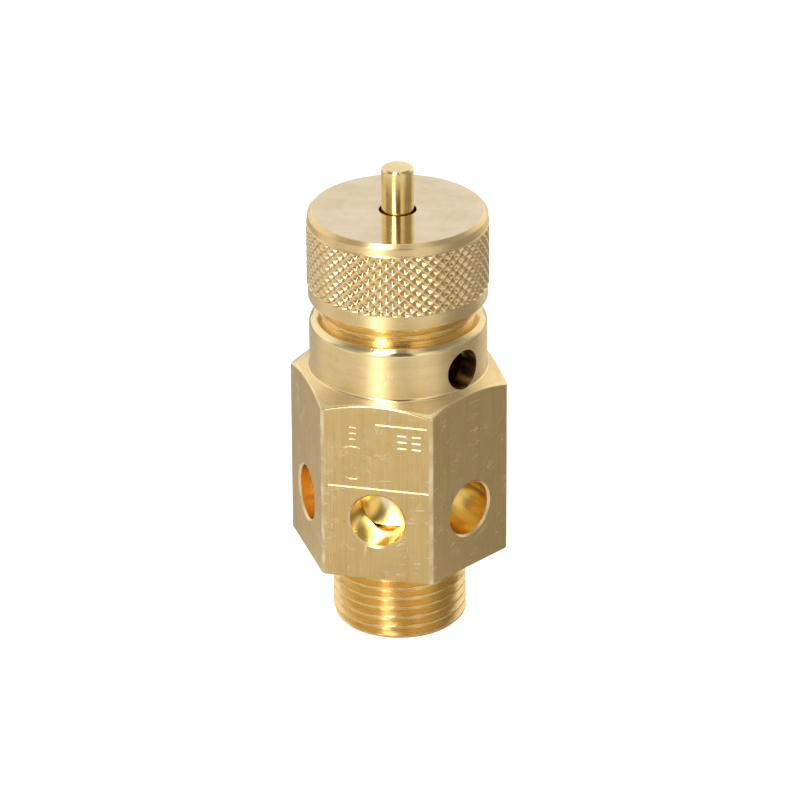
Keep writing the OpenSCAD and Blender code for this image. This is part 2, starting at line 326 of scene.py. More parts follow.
# What a finish is like unless it says otherwise; bumpDepth and the bands are in millimetres
usualLook = {
    "metal": 1.0, "stretch": 0.0, "across": 0.0, "fine": 5000, "slow": 200, "cloud": 260, "specks": 2600,
    "dents": 800, "mottle": 0.35, "streaks": 0.4, "lines": 0.25, "scratched": 0.4, "stain": 0.5,
    "roughGrain": 0.1, "roughCloud": 0.12, "roughScratch": 0.1, "broadBump": 0.6, "grainBump": 0.5,
    "speckBump": 0.2, "scratchBump": -0.8, "dentBump": -1.6, "bump": 0.4, "bumpDepth": 0.014,
    "wornBand": 0.06, "paintedShadeBand": 0.2,
}

# Long thin scratches: lean and facing of each direction, most of them level, and their size in metres
scratchLook = {
    "ways": [(1.45, 0.0), (1.15, 1.05), (1.95, -1.05)], "size": (0.0008, 0.0008, 0.02),
    "level": 0.36, "thin": 0.02, "patches": 620,
}


def finish(name, own):
    # A metal with machining marks, mottling, scratches and small dents
    look = {**usualLook, **own}
    material = bpy.data.materials.new(name)
    material.use_nodes = True
    tree = material.node_tree
    shader = tree.nodes["Principled BSDF"]
    shader.inputs["Metallic"].default_value = look["metal"]
    shader.inputs["Anisotropic"].default_value = look["stretch"]
    shader.inputs["Anisotropic Rotation"].default_value = look["across"]
    if look["stretch"]:
        tangent = tree.nodes.new("ShaderNodeTangent")
        tangent.direction_type = "RADIAL"
        tangent.axis = "Z"
        tree.links.new(tangent.outputs[0], shader.inputs["Tangent"])

    place = tree.nodes.new("ShaderNodeTexCoord").outputs["Object"]
    x, y, z = split(tree, place)
    fine, slow = look["fine"], look["slow"]
    radius = fromAxis(tree, x, y)
    if look["grain"] == "drawn":
        grainPlace = join(tree, calc(tree, "MULTIPLY", x, fine), calc(tree, "MULTIPLY", y, fine),
                          calc(tree, "MULTIPLY", z, slow))
    elif look["grain"] == "rings":  # rings round the valve's axis that wander a little
        grainPlace = join(tree, calc(tree, "MULTIPLY_ADD", radius, fine, calc(tree, "MULTIPLY", x, slow)),
                          calc(tree, "MULTIPLY_ADD", z, fine, calc(tree, "MULTIPLY", y, slow)),
                          calc(tree, "MULTIPLY", x, slow))
    else:
        grainPlace = join(tree, *[calc(tree, "MULTIPLY", item, fine) for item in (x, y, z)])

    def noise(vector, scale, detail=2.0, rough=0.5):
        node = tree.nodes.new("ShaderNodeTexNoise")
        node.inputs["Scale"].default_value = scale
        node.inputs["Detail"].default_value = detail
        node.inputs["Roughness"].default_value = rough
        tree.links.new(vector, node.inputs["Vector"])
        return node.outputs[0]

    def blend(factor, one, two):
        mix = tree.nodes.new("ShaderNodeMix")
        mix.data_type = "RGBA"
        tree.links.new(factor, mix.inputs["Factor"])
        for label, item in (("A", one), ("B", two)):
            if isinstance(item, tuple):
                mix.inputs[label].default_value = (*item, 1)
            else:
                tree.links.new(item, mix.inputs[label])
        return mix.outputs["Result"]

    grain = noise(grainPlace, 1.0, 3.0, 0.6)
    broad = noise(grainPlace, 0.22, 2.0, 0.5)
    cloud = noise(place, look["cloud"], 3.0, 0.55)
    speck = noise(place, look["specks"], 2.0, 0.5)
    scratches = []
    for lean, facing in scratchLook["ways"]:
        turn = tree.nodes.new("ShaderNodeMapping")
        turn.vector_type = "TEXTURE"
        turn.inputs["Rotation"].default_value = (0.0, lean, facing)
        turn.inputs["Scale"].default_value = scratchLook["size"]
        tree.links.new(place, turn.inputs["Vector"])
        wave = noise(turn.outputs[0], 1.0, 1.0, 0.4)
        offLine = calc(tree, "ABSOLUTE", minus(tree, wave, scratchLook["level"]))
        scratches.append(ramp(tree, offLine, scratchLook["thin"], 0.0))
    scratch = calc(tree, "MAXIMUM", calc(tree, "MAXIMUM", scratches[0], scratches[1]), scratches[2])
    patch = noise(place, scratchLook["patches"], 1.0, 0.4)
    scratch = calc(tree, "MULTIPLY", scratch, ramp(tree, patch, 0.53, 0.6, 0.0, look["scratched"]))
    dent = ramp(tree, noise(place, look["dents"], 1.0, 0.4), 0.70, 0.78)

    # colour: two tones by cloud, broad and fine marks, with paler scratches and darker dents
    tone = calc(tree, "MULTIPLY", ramp(tree, cloud, 0.3, 0.75), look["mottle"])
    tone = calc(tree, "MULTIPLY_ADD", ramp(tree, broad, 0.35, 0.68), look["streaks"], tone)
    tone = calc(tree, "MULTIPLY_ADD", ramp(tree, grain, 0.35, 0.7), look["lines"], tone)
    colour = blend(calc(tree, "MINIMUM", tone, 1.0), look["colour"], look["dull"])
    colour = blend(scratch, colour, look.get("bare", look["colour"]))
    colour = blend(calc(tree, "MULTIPLY", dent, look["stain"]), colour, look["dull"])
    if "paintedShade" in look:  # painted shade: darker below a radius, in the knurl's pits
        deep = ramp(tree, radius, look["paintedShadeR"] * mm, (look["paintedShadeR"] - look["paintedShadeBand"]) * mm, 0.0, 0.8)
        colour = blend(deep, colour, look["paintedShade"])
    if "wornR" in look:  # worn bright beyond a radius
        outer = ramp(tree, radius, (look["wornR"] - look["wornBand"]) * mm, look["wornR"] * mm)
        worn = calc(tree, "MULTIPLY", outer, ramp(tree, cloud, 0.4, 0.65, 0.1, 0.8))
        colour = blend(worn, colour, look["bare"])
    tree.links.new(colour, shader.inputs["Base Color"])

    spread = look["roughGrain"]
    roughness = calc(tree, "MULTIPLY_ADD", grain, spread, look["rough"] - spread * 0.5)
    roughness = calc(tree, "MULTIPLY_ADD", minus(tree, cloud, 0.5), look["roughCloud"], roughness)
    roughness = calc(tree, "MULTIPLY_ADD", scratch, look["roughScratch"], roughness)
    tree.links.new(roughness, shader.inputs["Roughness"])

    height = calc(tree, "MULTIPLY", grain, look["grainBump"])
    marks = {"broadBump": broad, "speckBump": speck, "scratchBump": scratch, "dentBump": dent}
    for label, mark in marks.items():
        height = calc(tree, "MULTIPLY_ADD", mark, look[label], height)
    bump = tree.nodes.new("ShaderNodeBump")
    bump.inputs["Strength"].default_value = look["bump"]
    bump.inputs["Distance"].default_value = look["bumpDepth"] * mm
    tree.links.new(height, bump.inputs["Height"])
    tree.links.new(bump.outputs["Normal"], shader.inputs["Normal"])
    return material


pale = (0.96, 0.86, 0.62)
finishes = {
    "drawnBrass": finish("drawnBrass", {
        "grain": "drawn", "colour": (0.755, 0.54, 0.235), "dull": (0.60, 0.415, 0.165), "bare": pale,
        "rough": 0.34, "stretch": 0.6, "across": 0.0, "fine": 6200, "slow": 160, "streaks": 0.18,
        "lines": 0.32, "scratched": 0.55, "wornR": at["cornerR"], "bump": 0.5}),
    "turnedBrass": finish("turnedBrass", {
        "grain": "rings", "colour": (0.92, 0.69, 0.345), "dull": (0.79, 0.56, 0.235), "bare": pale,
        "rough": 0.34, "stretch": 0.93, "across": 0.25, "fine": 5600, "slow": 110, "lines": 0.15,
        "streaks": 0.25, "mottle": 0.5}),
    "edgeBrass": finish("edgeBrass", {
        "grain": "rings", "colour": (0.90, 0.70, 0.37), "dull": (0.80, 0.58, 0.26), "bare": pale,
        "rough": 0.16, "stretch": 0.5, "across": 0.25, "fine": 5000, "slow": 100, "bump": 0.25}),
    "threadBrass": finish("threadBrass", {
        "grain": "rings", "colour": (0.94, 0.71, 0.32), "dull": (0.80, 0.56, 0.21), "bare": pale,
        "rough": 0.26, "stretch": 0.93, "across": 0.25, "fine": 5000, "slow": 120, "bump": 0.08,
        "scratched": 0.1}),
    "boredBrass": finish("boredBrass", {
        "grain": "rings", "colour": (0.86, 0.60, 0.23), "dull": (0.72, 0.46, 0.16), "rough": 0.24,
        "fine": 5000, "slow": 100, "bump": 0.25}),
    "drilledBrass": finish("drilledBrass", {
        "grain": "rings", "colour": (0.97, 0.78, 0.36), "dull": (0.92, 0.67, 0.24), "rough": 0.22,
        "fine": 3600, "slow": 60, "bump": 0.12}),
    "rimBrass": finish("rimBrass", {
        "grain": "even", "colour": (0.88, 0.70, 0.38), "dull": (0.80, 0.60, 0.29), "bare": pale,
        "rough": 0.34, "fine": 4000, "bump": 0.3}),
    # the knurl's pits get a painted shade colour below the knurl radius
    "knurledBrass": finish("knurledBrass", {
        "grain": "even", "colour": (0.90, 0.69, 0.37), "dull": (0.80, 0.58, 0.28), "bare": pale,
        "rough": 0.2, "fine": 4000, "bump": 0.3, "paintedShade": (0.70, 0.47, 0.20),
        "paintedShadeR": at["knurlR"] - 0.05}),
    "facedBrass": finish("facedBrass", {
        "grain": "rings", "colour": (0.70, 0.585, 0.39), "dull": (0.60, 0.49, 0.30), "bare": pale,
        "rough": 0.11, "stretch": 0.2, "across": 0.25, "fine": 5000, "slow": 120, "bump": 0.14,
        "roughGrain": 0.04, "mottle": 0.8, "streaks": 0.1, "lines": 0.08, "dents": 620,
        "scratched": 0.2}),
    "stemBrass": finish("stemBrass", {
        "grain": "rings", "colour": (0.97, 0.74, 0.33), "dull": (0.86, 0.62, 0.23), "bare": pale,
        "rough": 0.16, "stretch": 0.93, "across": 0.25, "fine": 6000, "slow": 100, "bump": 0.2}),
    "polishedBrass": finish("polishedBrass", {
        "grain": "rings", "colour": (0.96, 0.84, 0.56), "dull": (0.90, 0.74, 0.42), "rough": 0.15,
        "stretch": 0.8, "across": 0.25, "fine": 6000, "slow": 100, "bump": 0.12, "roughGrain": 0.04}),
    "bronze": finish("bronze", {
        "grain": "rings", "colour": (0.60, 0.36, 0.20), "dull": (0.45, 0.26, 0.14), "rough": 0.3,
        "fine": 5000, "slow": 100}),
    "steel": finish("steel", {
        "grain": "rings", "colour": (0.60, 0.60, 0.60), "dull": (0.48, 0.48, 0.49), "rough": 0.24,
        "fine": 5000, "slow": 100, "bump": 0.3}),
    "springSteel": finish("springSteel", {
        "grain": "even", "colour": (0.46, 0.47, 0.49), "dull": (0.34, 0.34, 0.36), "rough": 0.3,
        "fine": 4000}),
    "rubber": finish("rubber", {
        "grain": "even", "colour": (0.03, 0.03, 0.032), "dull": (0.05, 0.05, 0.05), "rough": 0.62,
        "metal": 0.0, "fine": 3000, "bump": 0.5}),
    "plastic": finish("plastic", {
        "grain": "rings", "colour": (0.80, 0.79, 0.74), "dull": (0.72, 0.71, 0.66), "rough": 0.42,
        "metal": 0.0, "fine": 4000, "slow": 100, "bump": 0.3}),
}
print("finishes ready")


def threadTree(name, inside):
    # Cuts a helical thread into points that lie near the crest radius between two heights
    tree, size, out = geometryTree(name, {
        "Crest radius": 0.01, "Depth": 0.0006, "Pitch": 0.001, "Sharp height": 0.0009, "Rounding": 0.0001,
        "Crest height": 0.0, "Low": 0.0, "High": 0.01, "Run-out": 0.001})
    point = tree.nodes.new("GeometryNodeInputPosition").outputs[0]
    x, y, z = split(tree, point)
    radius = fromAxis(tree, x, y)
    # a crest passes the front of the valve at the crest height and rises to the right
    turns = calc(tree, "DIVIDE", calc(tree, "ADD", calc(tree, "ARCTAN2", y, x), math.pi / 2), 2 * math.pi)
    height = calc(tree, "DIVIDE", minus(tree, z, size["Crest height"]), size["Pitch"])
    phase = minus(tree, height, turns)
    offCrest = offMiddle(tree, calc(tree, "ADD", phase, 0.5))
    truncated = calc(tree, "MULTIPLY", minus(tree, size["Sharp height"], size["Depth"]), 0.5)
    peak = calc(tree, "ADD", size["Crest radius"], truncated)
    fall = calc(tree, "MULTIPLY", calc(tree, "MULTIPLY", offCrest, 2.0), size["Sharp height"])
    sharp = minus(tree, peak, fall)
    root = minus(tree, size["Crest radius"], size["Depth"])
    form = calc(tree, "SMOOTH_MIN", sharp, size["Crest radius"], size["Rounding"])
    form = calc(tree, "SMOOTH_MAX", form, root, size["Rounding"])
    form = calc(tree, "MINIMUM", form, size["Crest radius"])
    fade = ramp(tree, z, minus(tree, size["High"], size["Run-out"]), size["High"], 1.0, 0.0)
    base = root if inside else size["Crest radius"]
    form = calc(tree, "ADD", base, calc(tree, "MULTIPLY", minus(tree, form, base), fade))
    form = calc(tree, "MAXIMUM" if inside else "MINIMUM", radius, form)
    factor = calc(tree, "DIVIDE", form, radius)
    near = calc(tree, "MULTIPLY", calc(tree, "GREATER_THAN", radius, minus(tree, root, 0.0003)),
                calc(tree, "LESS_THAN", radius, calc(tree, "ADD", size["Crest radius"], 0.0003)))
    near = calc(tree, "MULTIPLY", near, calc(tree, "GREATER_THAN", z, size["Low"]))
    near = calc(tree, "MULTIPLY", near, calc(tree, "LESS_THAN", z, size["High"]))
    move = tree.nodes.new("GeometryNodeSetPosition")
    tree.links.new(size["Geometry"], move.inputs["Geometry"])
    tree.links.new(near, move.inputs["Selection"])
    tree.links.new(join(tree, calc(tree, "MULTIPLY", x, factor), calc(tree, "MULTIPLY", y, factor), z),
                   move.inputs["Position"])
    endTree(tree, move.outputs[0], out, "threadBrass", near)
    return tree


outsideThread = threadTree("outsideThread", False)
insideThread = threadTree("insideThread", True)


def threadSizes(spec, low, high, extra=0.0):
    return {
        "Crest radius": (spec["crestR"] + extra) * mm, "Depth": spec["depth"] * mm,
        "Pitch": spec["pitch"] * mm, "Sharp height": spec["sharp"] * spec["pitch"] * mm,
        "Rounding": spec["round"] * mm, "Crest height": spec["crestZ"] * mm,
        "Low": low * mm, "High": high * mm, "Run-out": spec["runOut"] * mm}


inletThread = {"crestR": at["threadR"], "depth": 0.856, "pitch": 1.337, "sharp": 0.88, "round": 0.04,
               "crestZ": 7.21, "runOut": 0.7, "rows": 20}
neckThread = {"crestR": 10.0, "depth": 0.6, "pitch": 1.0, "sharp": 0.82, "round": 0.03,
              "crestZ": 42.6, "runOut": 0.3, "rows": 14}

bodySize = {
    "boreR": 4.5, "boreChamfer": 0.4, "lipR": 5.1, "nozzleR": 5.6, "floorZ": at["seatZ"] - 1.2,
    "threadChamfer": 0.7, "barrelR": 11.0, "barrelZ": 34.6, "neckZ": 41.3, "barrelChamfer": 0.65,
    "slope": 30, "portR": 3.45, "portRim": 0.26, "ventR": 2.55, "ventZ": 37.1, "ventAngle": -30, "edge": 0.13,
    "neckR": 10.0, "neckChamfer": 0.6, "undercutR": 9.42, "undercut": 0.4, "columnStep": 2, "portStart": 6.04,
    "footRun": 0.45, "footBend": 0.7, "rimBend": 0.4, "blend": 0.06, "lead": 0.45, "margin": 0.001,
    "reliefR": at["screwR"] + 0.6, "reliefZ": at["adjustZ"] - 5.8, "threadStart": 0.5, "drillSides": 72,
}


def hexRadius(angle):
    # Radius of the hexagon at an angle, its corners trimmed and very slightly rounded
    off = angle % 60 - 30
    flat = at["flatR"] / math.cos(math.radians(off))
    blend = bodySize["blend"]
    corner = at["cornerR"] - bodySize["margin"]
    near = max(blend - abs(flat - corner), 0) / blend
    return min(flat, corner) - near * near * blend / 4


def hexAngles():
    # Angles from the middle of one flat to the next, closer together at the corners
    size = bodySize
    corner = math.degrees(math.acos(at["flatR"] / at["cornerR"]))
    near = [corner + d for d in (-2.2, -0.9, -0.4, -0.2, 0, 0.2, 0.4)]
    half = [size["columnStep"] * i for i in range(1, 14)] + near
    sector = [0] + half + [30] + [60 - a for a in reversed(half)]
    return [a - 90 + 60 * k for k in range(6) for a in sector]


def bodyRows():
    # Rows from the inlet's mouth up the outside and down the inside, each with its finish
    size = bodySize
    rows = []
    plain, drawn, thread, bored, fineEdge = range(5)

    def add(place, material):
        rows.append((place, material))

    mouth = size["boreR"] + size["boreChamfer"]
    start = at["threadR"] - size["threadChamfer"]
    for point in ((mouth + 0.06, 0), (start - 0.5, 0)):
        add(point, plain)
    step = inletThread["pitch"] / inletThread["rows"]
    top = at["hexZ"] - 0.15
    count = int(top / step)
    for i in range(count + 1):
        z = i * step
        add((min(at["threadR"], start + z), z), thread if z > size["lead"] else plain)
    add((at["threadR"], at["hexZ"] - 0.08), thread)
    add((at["threadR"] + 0.08, at["hexZ"]), plain)
    add((at["threadR"] + 0.3, at["hexZ"]), plain)
    add((at["threadR"] + 1.6, at["hexZ"]), plain)

    # hexagon: the wall's upper edge is where the sloping top meets it
    slope = math.radians(size["slope"])
    edge = size["edge"]

    def topOf(a):
        return size["barrelZ"] - (hexRadius(a) - size["barrelR"]) * math.tan(slope)

    for back in (0.5, 0.13):
        add(lambda a, b=back: (hexRadius(a) - b, at["hexZ"]), drawn if back < 0.2 else plain)
    for t in (0.0, 0.33, 0.67, 1.0):
        add(lambda a, t=t: (hexRadius(a) - edge * (1 - t) ** 2, at["hexZ"] + edge * t * t), drawn)
    for share in (0.006, 0.05, 0.2, 0.4, 0.6, 0.8, 0.95):
        add(lambda a, s=share: (hexRadius(a), at["hexZ"] + edge + s * (topOf(a) - at["hexZ"] - 2 * edge)),
            drawn)
    for t in (0.0, 0.33, 0.67, 1.0):
        add(lambda a, t=t: (hexRadius(a) - edge * t * t * math.cos(slope),
                            topOf(a) - edge * (1 - t) ** 2 + edge * t * t * math.sin(slope)),
            fineEdge)
    coneEnd = size["barrelR"] + size["footRun"]
    coneTop = size["barrelZ"] - size["footRun"] * math.tan(slope)
    for share in (0.3, 0.5, 0.7, 0.9):
        add(lambda a, s=share: (hexRadius(a) + s * (coneEnd - hexRadius(a)),
                                topOf(a) + s * (coneTop - topOf(a))), plain)

    # barrel, shoulder and neck
    shoulder = size["barrelR"] - size["barrelChamfer"]
    chamferZ = size["neckZ"] - size["barrelChamfer"]
    outline = rounded([(coneEnd, coneTop), (size["barrelR"], size["barrelZ"], size["footBend"]),
                       (size["barrelR"], chamferZ, size["footBend"]),
                       (shoulder, size["neckZ"], size["rimBend"]),
                       (size["undercutR"], size["neckZ"]), (size["undercutR"], size["neckZ"] + 0.2)], 0.12)
    for i, point in enumerate(outline[:-1]):
        add(point, plain if i in (0, 6) else fineEdge)
    step = neckThread["pitch"] / neckThread["rows"]
    count = int((at["neckTop"] - size["neckZ"]) / step)
    for i in range(3, count + 1):
        z = size["neckZ"] + i * step
        rise = size["undercutR"] + max(z - size["neckZ"] - size["undercut"], 0)
        add((min(size["neckR"], rise, size["neckR"] - size["neckChamfer"] + at["neckTop"] - z), z), thread)

    # inside, from the rim down
    inner = [(size["neckR"] - size["neckChamfer"] - 0.15, at["neckTop"]), (at["screwR"] + 0.2, at["neckTop"]),
             (at["screwR"], at["neckTop"] - 0.2), (at["screwR"], at["adjustZ"]),
             (size["reliefR"], at["adjustZ"]), (size["reliefR"], size["reliefZ"]),
             (at["chamberR"], size["reliefZ"]), (at["chamberR"], size["floorZ"]),
             (size["nozzleR"], size["floorZ"]), (size["nozzleR"], at["seatZ"] - 0.5),
             (size["lipR"], at["seatZ"]), (size["boreR"], at["seatZ"]),
             (size["boreR"], size["boreChamfer"]), (mouth, 0)]
    for point in rounded(inner, 0.07)[:-1]:
        add(point, bored)
    return rows


# Each line: across and up the flat in millimetres, angle in degrees, length. Ring: middle, radius, strokes
markSize = {
    "frame": [(0.2, 22.85, 0, 12.7), (3.1, 31.65, 0, 6.4), (-5.95, 26.9, 90, 7.4), (-5.95, 16.9, 90, 10.8)],
    "ring": (-3.0, 26.2, 2.2, 28),
    "arrow": [(-3.0, 26.0, 90, 2.2), (-3.45, 27.35, 45, 0.8), (-2.55, 27.35, -45, 0.8)],
    "frameHalf": 0.09, "fineHalf": 0.08, "thinHalf": 0.07,
    "depth": 0.1, "depthHalf": 0.11, "reach": 0.05,  # depth goes with a half width of depthHalf
}


def frontMarks(bm):
    # Plain scribed lines, a ring with an arrow and tally strokes, cut into the flats
    marks = markSize

    def stroke(across, tall, angle, length, side=-90, half=markSize["fineHalf"]):
        # a shallow V groove; side is the flat's direction, angle turns the stroke within the flat
        facing = math.radians(side)
        out = Vector((math.cos(facing), math.sin(facing), 0))
        along = Vector((-out.y, out.x, 0))
        up = Vector((0, 0, 1))
        turn = math.radians(angle)
        line = along * math.cos(turn) + up * math.sin(turn)
        sideways = up * math.cos(turn) - along * math.sin(turn)
        middle = out * at["flatR"] + along * across + up * tall
        reach = marks["reach"]
        wide = half * (1 + reach / marks["depth"])
        deep = marks["depth"] * half / marks["depthHalf"]
        ends = []
        for end in (-length / 2, length / 2):
            spot = middle + line * end
            ends.append([bm.verts.new(corner * mm) for corner in (
                spot + sideways * wide + out * reach, spot - out * deep,
                spot - sideways * wide + out * reach)])
        one, two = ends
        for i in range(3):
            bm.faces.new((one[i], one[(i + 1) % 3], two[(i + 1) % 3], two[i]))
        bm.faces.new(one)
        bm.faces.new(reversed(two))

    def hoop(across, tall, radius, count):
        # a scribed ring made of short strokes that don't overlap
        for i in range(count):
            angle = 360 * (i + 0.5) / count
            turn = math.radians(angle)
            chord = 2 * radius * math.sin(math.pi / count)
            stroke(across + radius * math.cos(turn), tall + radius * math.sin(turn), angle + 90, chord * 0.94)

    for line in marks["frame"]:
        stroke(*line, half=marks["frameHalf"])
    hoop(*marks["ring"])
    for line in marks["arrow"]:
        stroke(*line)
    for k in range(3):
        stroke(3.2, 28.75 + k * 0.85, 0, 1.1, half=marks["frameHalf"])
        stroke(5.0, 28.75 + k * 0.85, 0, 1.1, half=marks["frameHalf"])
        stroke(-3.0, 29.4 + k * 0.8, 0, 0.8, half=marks["thinHalf"])
    for k in range(4):
        stroke(1.5 + 1.25 * k, 25.9, 90, 2.4)
    for k in range(5):
        stroke(0.7 + 0.25 * (k % 2), 25.2 + k * 1.9, 12 - 8 * (k % 3), 1.5, side=-30)


def makeBody():
    size = bodySize
    names = ["turnedBrass", "drawnBrass", "threadBrass", "boredBrass", "edgeBrass"]
    bm = bmesh.new()
    angles = hexAngles()
    rows = [(ringOf(bm, angles, place), material) for place, material in bodyRows()]
    for (one, material), (two, _) in zip(rows, rows[1:] + rows[:1]):
        bridge(bm, one, two, material)
    body = newPiece("brass_body", bm, [finishes[n] for n in names])
    runTree(body, outsideThread, threadSizes(inletThread, size["threadStart"], at["hexZ"] - 0.1))
    runTree(body, outsideThread, threadSizes(neckThread, size["neckZ"] + 0.02, at["neckTop"] + 0.01))
    print("body skin", len(body.data.polygons))

    bm = bmesh.new()
    rim = at["flatR"] - size["portRim"]
    mouth = size["portR"] + size["portRim"]
    past = 0.5  # how far the cutters reach past the surface
    port = [(0, size["portStart"]), (size["portR"], size["portStart"]), (size["portR"], rim),
            (mouth, at["flatR"]), (mouth + past, at["flatR"] + past), (0, at["flatR"] + past)]
    ventIn, ventOut = at["chamberR"] / 2, size["barrelR"] + 2 * past
    vent = [(0, ventIn), (size["ventR"], ventIn), (size["ventR"], ventOut), (0, ventOut)]
    drills = [(port, k * 60 - 90, at["portZ"], (0, 0, 1, 0)) for k in range(6)]
    drills.append((vent, size["ventAngle"], size["ventZ"], (0,)))
    for outline, angle, height, materials in drills:
        start = len(bm.verts)
        turned(bm, outline, size["drillSides"], materials, closed=False)
        bm.verts.ensure_lookup_table()
        lay = Quaternion((0, 0, 1), math.radians(angle)) @ Quaternion((0, 1, 0), math.radians(90))
        for vert in bm.verts[start:]:
            vert.co = lay @ vert.co + Vector((0, 0, height * mm))
    cutOut(body, bm, [finishes["drilledBrass"], finishes["rimBrass"]])
    bm = bmesh.new()
    frontMarks(bm)
    cutOut(body, bm, [finishes["rimBrass"]])
    finishPiece(body, "valve", "body_brass", "valve_body")


capSize = {
    "bandR": 11.1, "lowerBand": 1.7, "upperBand": 1.45, "rise": 0.12, "chamfer": 0.48, "holeR": 2.3,
    "roof": 1.7, "cavityR": 9.0, "groove": 0.5, "threadGap": 0.07, "pits": 47, "pitPitch": 1.5,
    "pitDepth": 0.44, "pitHalf": 0.52, "pitFloor": 0.03, "pitPower": 3.0, "fineRows": 16, "fineColumns": 16,
}


def knurlTree():
    # Presses diamond pits into points at the knurl's radius
    tree, size, out = geometryTree("diamondKnurl", {
        "Radius": 0.011, "Count": 47, "Pitch": 0.0015, "Depth": 0.0002, "Half width": 0.33, "Floor": 0.05,
        "Low": 0.04, "High": 0.05, "Fade": 0.0002})
    point = tree.nodes.new("GeometryNodeInputPosition").outputs[0]
    x, y, z = split(tree, point)
    radius = fromAxis(tree, x, y)
    turns = calc(tree, "DIVIDE", calc(tree, "ARCTAN2", y, x), 2 * math.pi)
    around = calc(tree, "MULTIPLY", turns, size["Count"])
    keepPositive = 100.5
    middle = calc(tree, "MULTIPLY", calc(tree, "ADD", size["Low"], size["High"]), 0.5)
    along = calc(tree, "DIVIDE", minus(tree, z, middle), size["Pitch"])

    # distances from the middle of the nearest pit, in pitches, along the two slants
    one = offMiddle(tree, calc(tree, "ADD", calc(tree, "ADD", along, around), keepPositive))
    two = offMiddle(tree, calc(tree, "ADD", minus(tree, along, around), keepPositive))
    powers = calc(tree, "ADD", calc(tree, "POWER", one, capSize["pitPower"]),
                  calc(tree, "POWER", two, capSize["pitPower"]))
    reach = calc(tree, "POWER", powers, 1 / capSize["pitPower"])
    pit = ramp(tree, reach, size["Floor"], size["Half width"], 1.0, 0.0, "LINEAR")
    fade = calc(tree, "MULTIPLY",
                ramp(tree, z, size["Low"], calc(tree, "ADD", size["Low"], size["Fade"]), 0.0, 1.0, "LINEAR"),
                ramp(tree, z, minus(tree, size["High"], size["Fade"]), size["High"], 1.0, 0.0, "LINEAR"))
    depth = calc(tree, "MULTIPLY", calc(tree, "MULTIPLY", pit, fade), size["Depth"])
    factor = calc(tree, "DIVIDE", minus(tree, radius, depth), radius)
    hair = 1e-6
    near = calc(tree, "GREATER_THAN", radius, minus(tree, size["Radius"], 0.6 * mm))
    near = calc(tree, "MULTIPLY", near, calc(tree, "GREATER_THAN", z, minus(tree, size["Low"], hair)))
    near = calc(tree, "MULTIPLY", near, calc(tree, "LESS_THAN", z, calc(tree, "ADD", size["High"], hair)))
    move = tree.nodes.new("GeometryNodeSetPosition")
    tree.links.new(size["Geometry"], move.inputs["Geometry"])
    tree.links.new(near, move.inputs["Selection"])
    tree.links.new(join(tree, calc(tree, "MULTIPLY", x, factor), calc(tree, "MULTIPLY", y, factor), z),
                   move.inputs["Position"])
    endTree(tree, move.outputs[0], out, "knurledBrass", near)
    return tree


def makeCap():
    size = capSize
    bandR, capZ, capTop = size["bandR"], at["capZ"], at["capTop"]
    lowZ = capZ + size["lowerBand"]
    highZ = capTop - size["upperBand"]
    knurlLow, knurlHigh = lowZ + size["rise"], highZ - size["rise"]
    threadR = neckThread["crestR"] + size["threadGap"]
    minorR = threadR - neckThread["depth"]
    roofZ = capTop - size["roof"]
    grooveR = size["cavityR"] + size["groove"]
    turnedBand, knurl, face, bored, thread = range(5)

    lower = rounded([(threadR + 0.1, capZ), (bandR, capZ), (bandR, lowZ), (at["knurlR"], knurlLow)], 0.1)
    upper = rounded([(at["knurlR"], knurlHigh), (bandR, highZ), (bandR, capTop - size["chamfer"], 0.3),
                     (bandR - size["chamfer"], capTop, 0.2), (size["holeR"], capTop), (size["holeR"], roofZ),
                     (size["cavityR"], roofZ), (size["cavityR"], at["snapTop"]),
                     (grooveR, at["snapTop"]), (grooveR, at["snapZ"]),
                     (size["cavityR"], at["snapZ"]), (size["cavityR"], at["neckTop"]),
                     (threadR + 0.05, at["neckTop"]), (threadR + 0.05, at["neckTop"] - 0.3)], 0.14)
    coarse = even(size["pits"] * 4)
    fine = even(size["pits"] * size["fineColumns"])
    bm = bmesh.new()
    rows = []
    for point in lower[:-1]:
        rows.append((ringOf(bm, coarse, point), turnedBand))
    count = round((knurlHigh - knurlLow) * size["fineRows"] / size["pitPitch"])
    for i in range(count + 1):
        z = knurlLow + (knurlHigh - knurlLow) * i / count
        rows.append((ringOf(bm, fine, (at["knurlR"], z)), knurl if i < count else turnedBand))
    for r, z in upper[1:-1]:
        if z > capTop - 1e-3 and size["holeR"] < r < bandR - size["chamfer"] * 0.8:
            material = face
        elif r < bandR - 0.8:
            material = bored
        else:
            material = turnedBand
        rows.append((ringOf(bm, coarse, (r, z)), material))
    step = neckThread["pitch"] / neckThread["rows"]
    top = at["neckTop"] - 0.35
    count = int((top - capZ) / step)
    for i in range(count + 1):
        z = top - i * step
        # the mouth is countersunk
        rows.append((ringOf(bm, coarse, (max(minorR, threadR + 0.03 - (z - capZ)), z)), thread))
    for (one, material), (two, _) in zip(rows, rows[1:] + rows[:1]):
        bridge(bm, one, two, material)
    names = ["turnedBrass", "knurledBrass", "facedBrass", "boredBrass", "threadBrass"]
    cap = newPiece("lifting_cap", bm, [finishes[n] for n in names])
    runTree(cap, knurlTree(), {
        "Radius": at["knurlR"] * mm, "Count": size["pits"], "Pitch": size["pitPitch"] * mm,
        "Depth": size["pitDepth"] * mm, "Half width": size["pitHalf"], "Floor": size["pitFloor"],
        "Low": knurlLow * mm, "High": knurlHigh * mm, "Fade": 0.25 * mm})
    runTree(cap, insideThread, threadSizes(neckThread, capZ - 0.01, at["neckTop"] - 0.3, size["threadGap"]))
    finishPiece(cap, "cap", "cap_brass", "knurled_cap")


